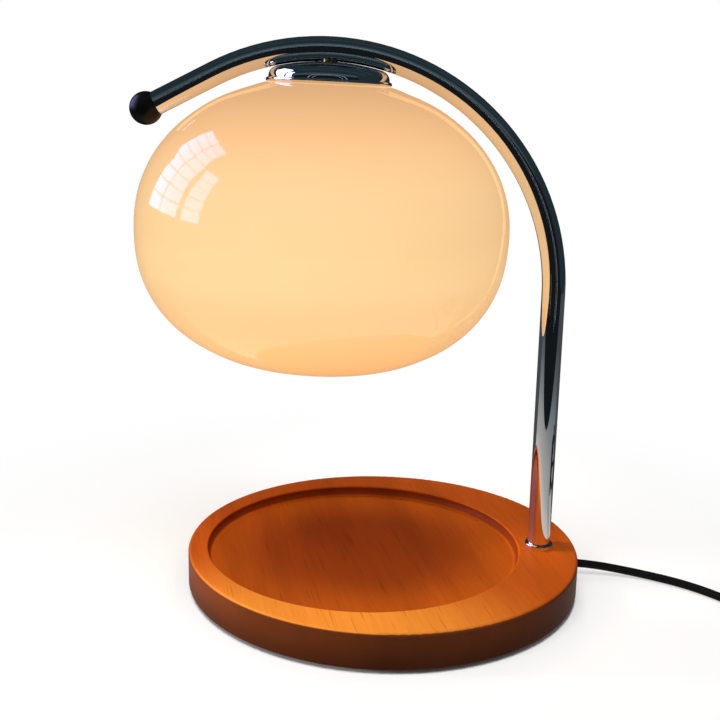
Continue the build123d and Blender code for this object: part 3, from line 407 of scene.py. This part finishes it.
def woven_sleeve():
    """Black woven sleeve of the cord."""
    material, principled, add, link = shader("woven_sleeve")
    weave = cells(add, link, scale=1400.0)
    colour = ramp(add, link, weave, (0.1, (0.014, 0.014, 0.014)), (0.6, (0.004, 0.004, 0.004)))
    link(colour, principled.inputs["Base Color"])
    set_inputs(principled, {"Roughness": 0.7, "Specular IOR Level": 0.15})
    bump(add, link, principled, weave, strength=0.5, distance=0.0003)
    return material


def bulb_front():
    """Lit front glass of the bulb, with small facets."""
    material, principled, add, link = shader("bulb_front")
    facets = cells(add, link, scale=260.0)
    colour = ramp(add, link, facets, (0.0, (0.95, 0.84, 0.62)), (1.0, (0.85, 0.7, 0.45)))
    link(colour, principled.inputs["Base Color"])
    bump(add, link, principled, facets, strength=0.5, distance=0.001)
    set_inputs(principled, {"Roughness": 0.25})
    set_inputs(principled, {"Emission Color": BULB_GLOW, "Emission Strength": BULB_GLOW_STRENGTH})
    return material


def plain_finish(name, colour, roughness, metallic=0.0, grain=300.0, depth=0.0, spread=0.12, gloss=0.5):
    """Finish with a fine grain in its colour, gloss and surface."""
    material, principled, add, link = shader(name)
    cloud = noise(add, link, object_place(add), scale=grain)
    dark, light = darker_and_lighter(colour, spread)
    link(ramp(add, link, cloud, (0.3, dark), (0.7, light)), principled.inputs["Base Color"])
    roughness_range(add, link, principled, cloud, low=roughness * 0.85, high=roughness * 1.15)
    set_inputs(principled, {"Metallic": metallic, "Specular IOR Level": gloss})
    if depth:
        bump(add, link, principled, cloud, strength=0.3, distance=depth)
    return material


wood = lacquered_wood()
chrome = polished_chrome()
opal = opal_glass()
sleeve = woven_sleeve()
felt = plain_finish("felt", (0.02, 0.02, 0.02), 0.95, grain=900.0, depth=0.0006, spread=0.4)
black_gloss = plain_finish("black_gloss", (0.003, 0.003, 0.003), 0.34, grain=80.0, gloss=0.2)
black_plastic = plain_finish("black_plastic", (0.012, 0.012, 0.013), 0.45, grain=1600.0, depth=0.00012)
rubber = plain_finish("rubber", (0.01, 0.01, 0.01), 0.6, grain=1200.0, depth=0.0001)
steel = plain_finish("plated_steel", (0.55, 0.56, 0.58), 0.28, metallic=1.0, grain=400.0)
brass = plain_finish("brass", (0.62, 0.42, 0.16), 0.25, metallic=1.0, grain=300.0)
ceramic = plain_finish("ceramic", (0.78, 0.75, 0.69), 0.5, grain=250.0, depth=0.0001)
reflector_metal = plain_finish("reflector_metal", (0.75, 0.75, 0.76), 0.12, metallic=1.0, grain=90.0)
silicone = plain_finish("silicone_sheath", (0.68, 0.67, 0.63), 0.5, grain=500.0)
board_green = plain_finish("board_green", (0.03, 0.14, 0.05), 0.4, grain=700.0)
strap_fabric = plain_finish(
    "strap_fabric", (0.016, 0.016, 0.018), 0.9, grain=1500.0, depth=0.0005, spread=0.5
)

FINISHES = [
    (wood, ["wood_base"]),
    (felt, ["felt_pad"]),
    (chrome, ["foot_collar", "arm_tube", "shade_cap"]),
    (black_gloss, ["end_ball", "dimmer_wheel"]),
    (opal, ["glass_shade"]),
    (steel, ["bottom_cover", "bottom_cover_screws", "pole_nipple", "pole_washer", "pole_nut"]),
    (steel, ["clamp_plate", "clamp_nut", "bridge_nut", "holder_bridge", "holder_screws"]),
    (steel, ["dimmer_screws", "dimmer_shaft", "plug_pins"]),
    (brass, ["shade_stud", "bulb_pins"]),
    (rubber, ["cord_relief", "upper_gasket", "lower_gasket", "dimmer_reliefs", "plug_relief"]),
    (ceramic, ["lamp_holder", "bulb_base"]),
    (reflector_metal, ["bulb_reflector"]),
    (bulb_front(), ["bulb_lens"]),
    (silicone, ["riser_lead", "holder_leads"]),
    (black_plastic, ["dimmer_lower", "dimmer_upper", "plug_body"]),
    (board_green, ["dimmer_board"]),
    (strap_fabric, ["coil_tie"]),
]


def dress_nodes():
    """Gives every solid its finish."""
    for material, names in FINISHES:
        for name in names:
            slots = nodes[name].data.materials
            slots.clear()
            slots.append(material)


def cord_curve(name, points):
    """Round cord on one smooth spline through its route's control points, given in millimetres."""
    curve = bpy.data.curves.new(name, "CURVE")
    curve.dimensions = "3D"
    curve.bevel_depth = CORD_DIAMETER / 2 * MM
    curve.bevel_resolution = CORD_BEVEL_STEPS
    curve.resolution_u = CORD_CURVE_STEPS
    curve.use_fill_caps = True
    spline = curve.splines.new("NURBS")
    spline.points.add(len(points) - 1)
    for target, point in zip(spline.points, points):
        target.co = (*(c * MM for c in point), 1)
    spline.order_u = CORD_CURVE_ORDER
    spline.use_endpoint_u = True
    curve.materials.append(sleeve)
    cord = bpy.data.objects.new(name, curve)
    bpy.context.collection.objects.link(cord)
    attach(cord, "lamp")
    return cord


def on_plug_line(along):
    """Point on the plug's axis, by its distance from the plug's nose."""
    turn = math.radians(PLUG_HEADING)
    return (PLUG_NOSE[0] + along * math.cos(turn), PLUG_NOSE[1] + along * math.sin(turn), PLUG_LEVEL)


def coil_points():
    """Turns that spiral in and out by layers, and climb a layer where the spiral turns back."""
    sweep = 360.0 * COIL_LAYERS * COIL_TURN_COUNT + COIL_PART_TURN
    layer_turns = sweep / 360 / COIL_LAYERS
    half_band = layer_turns * COIL_PITCH / 2
    count = round(sweep / 360 * COIL_POINTS_A_TURN)
    points = []
    for step in range(count + 1):
        turns = step / count * sweep / 360
        layer = min(int(turns / layer_turns), COIL_LAYERS - 1)
        along = turns / layer_turns - layer
        inward = along if layer % 2 == 0 else 1 - along
        radius = COIL_MIDDLE_RADIUS + half_band - inward * 2 * half_band
        height = COIL_FLOOR
        for climb in range(1, COIL_LAYERS):
            rise = min(max((turns - climb * layer_turns) / COIL_CLIMB_TURNS + 0.5, 0.0), 1.0)
            height += COIL_PITCH * rise * rise * (3 - 2 * rise)
        angle = -turns * math.tau
        points.append(
            (COIL_MIDDLE[0] + radius * math.cos(angle), COIL_MIDDLE[1] + radius * math.sin(angle), height)
        )
    return points


def lay_cords():
    """Cord from the base to the dimmer, and from there through the coil to the plug."""
    dimmer_x, dimmer_y = DIMMER_MIDDLE
    exit_y, exit_z = CORD_EXIT[1:]
    lamp_cord = cord_curve(
        "lamp_cord_sleeve",
        [
            (CORD_START_X, exit_y, exit_z),
            (CORD_STRAIGHT_X, exit_y, exit_z),
            *((x, y, TABLE_CORD) for x, y in LAMP_CORD_BENDS),
            (dimmer_x, dimmer_y - DIMMER_NOSE - DIMMER_LEAD, DIMMER_CORD_HEIGHT),
            (dimmer_x, dimmer_y - DIMMER_NOSE + DIMMER_INSIDE, DIMMER_CORD_HEIGHT),
        ],
    )
    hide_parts("lamp_cord")
    turns = coil_points()
    inlet_x, inlet_y, inlet_z = turns[0]
    outlet_x, outlet_y, outlet_z = turns[-1]
    plug_cord = cord_curve(
        "plug_cord_sleeve",
        [
            (dimmer_x, dimmer_y + DIMMER_NOSE - DIMMER_INSIDE, DIMMER_CORD_HEIGHT),
            (dimmer_x, dimmer_y + DIMMER_NOSE + DIMMER_LEAD, DIMMER_CORD_HEIGHT),
            (dimmer_x, PLUG_CORD_TURN_Y, DIMMER_CORD_HEIGHT),
            (inlet_x, PLUG_CORD_TURN_Y, inlet_z),
            (inlet_x, inlet_y + COIL_LEAD_IN, inlet_z),
            *turns,
            (outlet_x, outlet_y + COIL_LEAD_OUT, outlet_z),
            on_plug_line(-PLUG_LEAD),
            on_plug_line(PLUG_INSIDE),
        ],
    )
    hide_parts("plug_cord", "cord_coil", "plug_tail")


def set_camera():
    """Camera at its fitted place and turn."""
    camera = bpy.data.cameras.new("camera")
    camera.sensor_width = CAMERA_SENSOR
    camera.lens = CAMERA_LENS
    camera.shift_x, camera.shift_y = CAMERA_SHIFT
    camera.clip_start = CAMERA_NEAR
    right = Vector(CAMERA_RIGHT)
    up = Vector(CAMERA_UP)
    back = right.cross(up)
    pose = Matrix((right, up, back)).transposed().to_4x4()
    pose.translation = CAMERA_PLACE
    holder = bpy.data.objects.new("camera", camera)
    holder.matrix_world = pose
    bpy.context.collection.objects.link(holder)
    bpy.context.scene.camera = holder


def turned_to(direction, axis):
    """Turn that points an axis along a direction."""
    return Vector(direction).to_track_quat(axis, "Y").to_matrix().to_4x4()


def hang_light(name, lamp, place, target, power, colour):
    """Puts a lamp at its place, aimed at its target and not shown in mirrors."""
    lamp.energy = power
    lamp.color = colour
    holder = bpy.data.objects.new(name, lamp)
    aim = Vector(target) - Vector(place)
    holder.matrix_world = Matrix.Translation(place) @ turned_to(aim, "-Z")
    holder.visible_glossy = False
    bpy.context.collection.objects.link(holder)


def area_light(name, side, **setting):
    """Square soft light."""
    lamp = bpy.data.lights.new(name, "AREA")
    lamp.shape = "RECTANGLE"
    lamp.size = side
    lamp.size_y = side
    hang_light(name, lamp, **setting)


def spot_light(name, cone, radius, **setting):
    """Light in a cone with a fully soft edge."""
    lamp = bpy.data.lights.new(name, "SPOT")
    lamp.spot_size = math.radians(cone)
    lamp.spot_blend = 1.0
    lamp.shadow_soft_size = radius
    hang_light(name, lamp, **setting)


def set_lights():
    """Soft light from above, light from the bulb, and low light from the left and from behind."""
    area_light(
        "key",
        side=0.9,
        place=(-0.18, -0.42, 1.4),
        target=(0, 0, 0.08),
        power=17.0,
        colour=(1.0, 0.98, 0.95),
    )
    area_light(
        "bulb_light",
        side=0.05,
        place=(-0.033, 0, 0.113),
        target=(-0.035, 0, 0),
        power=0.015,
        colour=(1.0, 0.72, 0.42),
    )
    spot_light(
        "mouth_light",
        cone=25.0,
        radius=0.018,
        place=(-0.033, 0, 0.112),
        target=(0.105, 0, 0.02),
        power=0.8,
        colour=(1.0, 0.80, 0.55),
    )
    spot_light(
        "left",
        cone=15.0,
        radius=0.06,
        place=(-0.9, -0.12, 0.09),
        target=(-0.05, -0.05, 0.012),
        power=44.0,
        colour=(1.0, 0.97, 0.93),
    )
    spot_light(
        "back",
        cone=34.0,
        radius=0.06,
        place=(0.05, 0.5, 0.4),
        target=(0.02, 0.15, 0),
        power=7.0,
        colour=(1.0, 0.96, 0.90),
    )


def for_mirrors_only(piece, material):
    """Studio piece that only mirrors and gloss show."""
    piece.data.materials.append(material)
    piece.visible_camera = False
    piece.visible_diffuse = False
    piece.visible_transmission = False
    piece.visible_shadow = False


def reflected_ring(name, place, radius, thickness, material):
    """Thin upright ring in front of the lamp, which a bent tube shows as a line along it."""
    bpy.ops.mesh.primitive_torus_add(
        major_radius=radius,
        minor_radius=thickness,
        major_segments=RING_STEPS,
        minor_segments=RING_SECTION_STEPS,
        location=place,
        rotation=(math.pi / 2, 0, 0),
    )
    ring = bpy.context.object
    ring.name = name
    for_mirrors_only(ring, material)


def reflected_card(name, place, facing, size, material):
    """Flat studio card or window pane, with its place in its mesh."""
    bpy.ops.mesh.primitive_plane_add(size=1)
    card = bpy.context.object
    card.name = name
    turn = turned_to(facing, "Z")
    card.data.transform(Matrix.Translation(place) @ turn @ Matrix.Diagonal((*size, 1, 1)))
    for_mirrors_only(card, material)


def unlit(name):
    """Material that shows nothing but its own glow."""
    material, principled, add, link = shader(name)
    set_inputs(principled, {"Base Color": BLACK, "Specular IOR Level": 0.0, "Emission Strength": 1.0})
    return material, principled, add, link


def glow(name, colour, strength=1.0):
    """Even glow."""
    material, principled = unlit(name)[:2]
    set_inputs(principled, {"Emission Color": (*colour, 1), "Emission Strength": strength})
    return material


def table_glow():
    """Table top as mirrors show it: pale beside the base and dim further off."""
    material, principled, add, link = unlit("table_glow")
    colour = ramp(add, link, distance_from_axis(add, link, 0.0, 0.0), *TABLE_GLOW)
    link(colour, principled.inputs["Emission Color"])
    return material


def set_cards():
    """Dark room round the lamp, with faint panels and lines in it and a tall window on its left."""
    night = glow("dark_card", (0.016, 0.027, 0.033))
    darker = glow("darker_card", (0.007, 0.009, 0.011))
    panel = glow("faint_panel", (0.042, 0.070, 0.086))
    line = glow("faint_line", (0.48, 0.56, 0.60))
    grey = glow("grey_card", (0.06, 0.065, 0.07))
    pane = glow("window_pane", (0.9, 1.0, 2.0), strength=2.8)
    cards = (
        ("card_above", (CEILING_X, 0.1, 1.0), DOWN, (CEILING_LENGTH, 1.6), night),
        ("card_front", (ROOM_X, ROOM_FRONT, 0.275), TO_BACK, (ROOM_WIDTH, 0.55), darker),
        ("card_front_upper", (ROOM_X, ROOM_FRONT, 0.775), TO_BACK, (ROOM_WIDTH, 0.45), panel),
        ("card_back", (ROOM_X, 0.9, 0.5), TO_FRONT, (ROOM_WIDTH, 1.0), night),
        ("card_right", (1.1, 0.1, 0.5), TO_LEFT, (1.6, 1.0), night),
        ("card_left", (-1.55, 0.4, 2.0), TO_RIGHT, (7.0, 4.0), night),
        ("card_floor_front", (ROOM_X, -0.47, FLOOR_CARD_LEVEL), UP, (ROOM_WIDTH, 0.38), darker),
        ("card_floor", (ROOM_X, 0.31, FLOOR_CARD_LEVEL), UP, (ROOM_WIDTH, 1.18), grey),
        ("card_floor_near", (0.005, -0.115, TABLE_CARD_LEVEL), UP, (1.21, 0.33), table_glow()),
    )
    for name, place, facing, size, material in cards:
        reflected_card(name, place, facing, size, material)
    for y, width in CEILING_PANELS:
        reflected_card("card_panel", (CEILING_X, y, PANEL_HEIGHT), DOWN, (CEILING_LENGTH, width), panel)
    for radius, thickness in RINGS:
        reflected_ring("ring_of_light", RING_MIDDLE, radius, thickness, line)
    for y, width, rows in WINDOW_BAYS:
        for row in range(rows):
            place = (WINDOW_X, y, LOWEST_PANE + PANE_STEP * row)
            reflected_card("pane", place, TO_RIGHT, (width, PANE_HEIGHT), pane)


def white_when_seen(tree, lit, output, white):
    """White for camera, mirror and glass rays, and the lit shader for the rest."""
    path = tree.nodes.new("ShaderNodeLightPath")
    seen = path.outputs["Is Camera Ray"]
    for ray in ("Is Glossy Ray", "Is Transmission Ray"):
        either = tree.nodes.new("ShaderNodeMath")
        either.operation = "MAXIMUM"
        tree.links.new(seen, either.inputs[0])
        tree.links.new(path.outputs[ray], either.inputs[1])
        seen = either.outputs[0]
    mix = tree.nodes.new("ShaderNodeMixShader")
    tree.links.new(seen, mix.inputs[0])
    tree.links.new(lit.outputs[0], mix.inputs[1])
    tree.links.new(white.outputs[0], mix.inputs[2])
    tree.links.new(mix.outputs[0], output)


def set_world():
    """Faint cool light from all sides, and a white background."""
    world = bpy.data.worlds.new("studio")
    bpy.context.scene.world = world
    world.use_nodes = True
    tree = world.node_tree
    lit = tree.nodes["Background"]
    set_inputs(lit, {"Color": SKY_COLOUR, "Strength": SKY_STRENGTH})
    white = tree.nodes.new("ShaderNodeBackground")
    set_inputs(white, {"Color": WHITE, "Strength": 1.0})
    white_when_seen(tree, lit, tree.nodes["World Output"].inputs["Surface"], white)


def lay_floor():
    """White floor, dark under the base, that keeps the lamp's shadow and throws little light back up."""
    bpy.ops.mesh.primitive_plane_add(size=FLOOR_SIDE, location=(0, 0, FLOOR_LEVEL))
    floor = bpy.context.object
    floor.name = "floor"
    material, principled, add, link = shader("white_floor")
    set_inputs(principled, {"Base Color": FLOOR_COLOUR, "Roughness": 0.9, "Specular IOR Level": 0.0})
    radius = distance_from_axis(add, link, 0.0, 0.0)
    far = zone(add, link, radius, *FLOOR_SHADOW_ZONE, low=FLOOR_SHADOW_WHITE)
    outside = zone(add, link, radius, *FLOOR_BASE_EDGE)
    near = add("ShaderNodeMixShader")
    white = add("ShaderNodeEmission")
    dim = add("ShaderNodeBsdfDiffuse")
    set_inputs(dim, {"Color": FLOOR_DIM_COLOUR})
    link(product(add, link, far, outside), near.inputs[0])
    link(principled.outputs[0], near.inputs[1])
    link(white.outputs[0], near.inputs[2])
    tree = material.node_tree
    white_when_seen(tree, dim, tree.nodes["Material Output"].inputs["Surface"], near)
    floor.data.materials.append(material)


set_camera()
lay_cords()
dress_nodes()
set_world()
lay_floor()
set_cards()
set_lights()

bpy.context.scene.view_settings.view_transform = "Standard"
